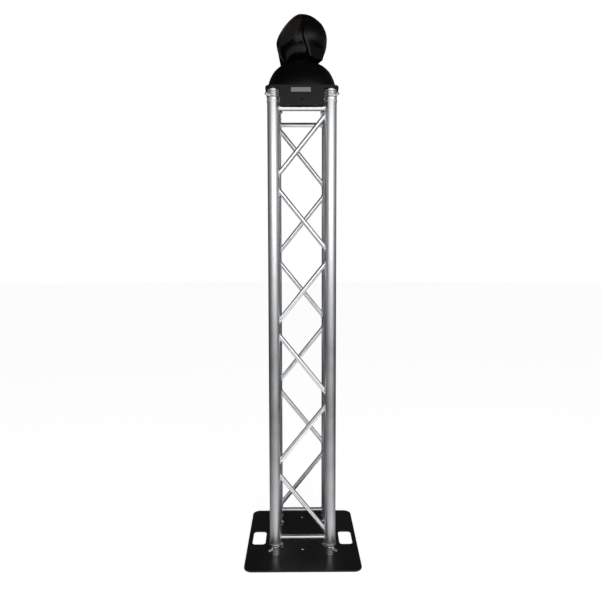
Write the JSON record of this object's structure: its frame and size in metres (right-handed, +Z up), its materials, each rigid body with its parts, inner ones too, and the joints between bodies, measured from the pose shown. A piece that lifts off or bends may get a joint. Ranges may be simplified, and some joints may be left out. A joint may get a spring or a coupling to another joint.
{
  "type": "lighting truss totem",
  "caption": "Upright box truss on a square base plate, with a top plate that carries a ball-shaped moving light which pans and tilts.",
  "frame": {"origin": "centre of the base plate's underside, on the floor", "axes": "+Z up along the truss, -Y towards the front with the fascia, +X to the right seen from the front"},
  "size_m": [0.5, 0.5, 2.358],
  "materials": {
    "powder_coat": "satin",
    "bolt_black": "satin",
    "machined_aluminium": "bright machined",
    "tube_aluminium": "mill finish",
    "zinc_steel": "zinc plated",
    "fascia_paint": "satin",
    "label_foil": "matt foil",
    "inner_sheet_metal": "plain",
    "gloss_shell": "gloss",
    "satin_trim": "satin",
    "inner_aluminium": "plain",
    "bearing_steel": "ground",
    "motor_case": "satin",
    "gear_brass": "cut",
    "circuit_board": "solder resist",
    "display_glass": "clear",
    "button_rubber": "matt",
    "inlet_blue": "moulded",
    "socket_black": "moulded",
    "lens_clear": "optical"
  },
  "bodies": {
    "stand": {"base_plate": "powder_coat", "base_spigots": "machined_aluminium", "base_spigot_bolts": "bolt_black", "chord_front_right": "tube_aluminium", "chord_back_right": "tube_aluminium", "chord_back_left": "tube_aluminium", "chord_front_left": "tube_aluminium", "receivers_bottom": "machined_aluminium", "receivers_top": "machined_aluminium", "end_braces_bottom": "tube_aluminium", "end_braces_top": "tube_aluminium", "diagonals_front": "tube_aluminium", "diagonals_right": "tube_aluminium", "diagonals_back": "tube_aluminium", "diagonals_left": "tube_aluminium", "taper_pins_bottom": "zinc_steel", "taper_pins_top": "zinc_steel", "spring_clips_bottom": "zinc_steel", "spring_clips_top": "zinc_steel", "top_plate": "powder_coat", "top_spigots": "machined_aluminium", "top_spigot_bolts": "bolt_black", "fascia": "fascia_paint", "fascia_screws": "zinc_steel", "rating_plate": "label_foil", "light_chassis": "inner_sheet_metal", "chassis_bolts": "zinc_steel", "dome_cover": "gloss_shell", "dome_screws": "bolt_black", "pan_tower": "inner_aluminium", "pan_bearing": "bearing_steel", "pan_motor": "motor_case", "motor_bracket": "inner_sheet_metal", "power_supply": "inner_sheet_metal", "control_board": "circuit_board", "rear_panel": "satin_trim", "display_window": "display_glass", "power_inlet": "inlet_blue", "data_sockets": "socket_black"},
    "yoke_body": {"yoke": "gloss_shell", "yoke_caps": "gloss_shell", "tilt_bearings": "bearing_steel", "tilt_gear": "gear_brass", "pan_gear": "gear_brass"},
    "head_body": {"head_front_shell": "gloss_shell", "head_rear_shell": "gloss_shell", "shell_screws": "bolt_black", "front_bezel": "satin_trim", "lens_array": "lens_clear", "led_engine": "inner_aluminium", "fan_frame": "satin_trim", "trunnions": "inner_aluminium", "tilt_motor": "motor_case"},
    "pan_pinion": {"pan_pinion": "gear_brass"},
    "tilt_pinion": {"tilt_pinion": "gear_brass"},
    "fan": {"fan_rotor": "satin_trim"},
    "menu_button": {"button_menu": "button_rubber"},
    "down_button": {"button_down": "button_rubber"},
    "up_button": {"button_up": "button_rubber"},
    "enter_button": {"button_enter": "button_rubber"}
  },
  "joints": [
    {"name": "pan", "type": "hinge", "parent": "stand", "child": "yoke_body", "pos_m": [0, 0, 2.248], "axis": [0, 0, 1], "range_deg": [-270, 270]},
    {"name": "tilt", "type": "hinge", "parent": "yoke_body", "child": "head_body", "pos_m": [0, 0, 2.248], "axis": [0.6361, -0.7716, 0], "range_deg": [-200, 70]},
    {"name": "pan_pinion_spin", "type": "hinge", "parent": "stand", "child": "pan_pinion", "pos_m": [0, -0.06625, 2.1], "axis": [0, 0, 1], "range_deg": [-1220, 1220]},
    {"name": "tilt_pinion_spin", "type": "hinge", "parent": "head_body", "child": "tilt_pinion", "pos_m": [0.02116, 0.01744, 2.23522], "axis": [0.6361, -0.7716, 0], "range_deg": [-405, 145]},
    {"name": "fan_spin", "type": "hinge", "parent": "head_body", "child": "fan", "pos_m": [0, 0, 2.248], "axis": [-0.6993, -0.5765, 0.4226], "continuous": true},
    {"name": "menu_press", "type": "slide", "parent": "stand", "child": "menu_button", "axis": [0, -1, 0], "range_m": [0, 0.0008], "stiffness_N_per_m": 900, "springref_m": -0.0006},
    {"name": "down_press", "type": "slide", "parent": "stand", "child": "down_button", "axis": [0, -1, 0], "range_m": [0, 0.0008], "stiffness_N_per_m": 900, "springref_m": -0.0006},
    {"name": "up_press", "type": "slide", "parent": "stand", "child": "up_button", "axis": [0, -1, 0], "range_m": [0, 0.0008], "stiffness_N_per_m": 900, "springref_m": -0.0006},
    {"name": "enter_press", "type": "slide", "parent": "stand", "child": "enter_button", "axis": [0, -1, 0], "range_m": [0, 0.0008], "stiffness_N_per_m": 900, "springref_m": -0.0006}
  ],
  "couplings": [
    {"joint": "pan_pinion_spin", "follows": "pan", "ratio": -4.5},
    {"joint": "tilt_pinion_spin", "follows": "tilt", "ratio": 2}
  ]
}
